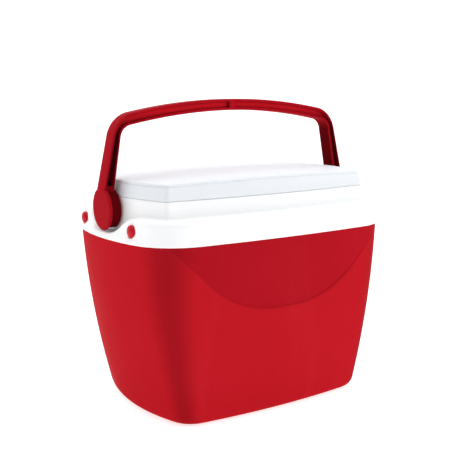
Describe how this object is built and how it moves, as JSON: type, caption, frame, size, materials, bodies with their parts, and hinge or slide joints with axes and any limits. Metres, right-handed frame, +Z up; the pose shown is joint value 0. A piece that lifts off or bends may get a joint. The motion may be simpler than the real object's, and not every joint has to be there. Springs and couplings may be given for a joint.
{
  "type": "personal cooler",
  "caption": "Small hard-sided food and drink cooler: tapered red tub, white collar, lift-off insulated lid and a folding carry handle on round end bosses.",
  "frame": {"origin": "centre of the base, on the surface the cooler stands on", "axes": "+X along the length, -Y towards the front, +Z up"},
  "size_m": [0.2882, 0.2086, 0.2948],
  "materials": {
    "red_shell": "semi-gloss moulded polypropylene",
    "red_handle": "semi-gloss moulded polypropylene",
    "red_studs": "glossy moulded plug",
    "white_collar": "semi-gloss moulded polypropylene",
    "white_liner": "smooth moulded polypropylene",
    "white_lid": "fine satin moulded polypropylene",
    "white_plug": "smooth moulded polypropylene",
    "body_foam": "expanded polystyrene foam",
    "lid_foam": "expanded polystyrene foam"
  },
  "bodies": {
    "cooler_body": {"outer_tub": "red_shell", "collar": "white_collar", "stud_front_left": "red_studs", "stud_front_right": "red_studs", "stud_rear_left": "red_studs", "stud_rear_right": "red_studs", "body_insulation": "body_foam", "inner_liner": "white_liner"},
    "lid": {"lid_top": "white_lid", "lid_underside": "white_plug", "lid_insulation": "lid_foam"},
    "handle": {"carry_handle": "red_handle"}
  },
  "joints": [
    {"name": "handle_fold", "type": "hinge", "parent": "cooler_body", "child": "handle", "pos_m": [0, 0, 0.196], "axis": [1, 0, 0], "range_deg": [-82, 82]},
    {"name": "lid_lift", "type": "slide", "parent": "cooler_body", "child": "lid", "axis": [0, 0, 1], "range_m": [0, 0.016]}
  ]
}
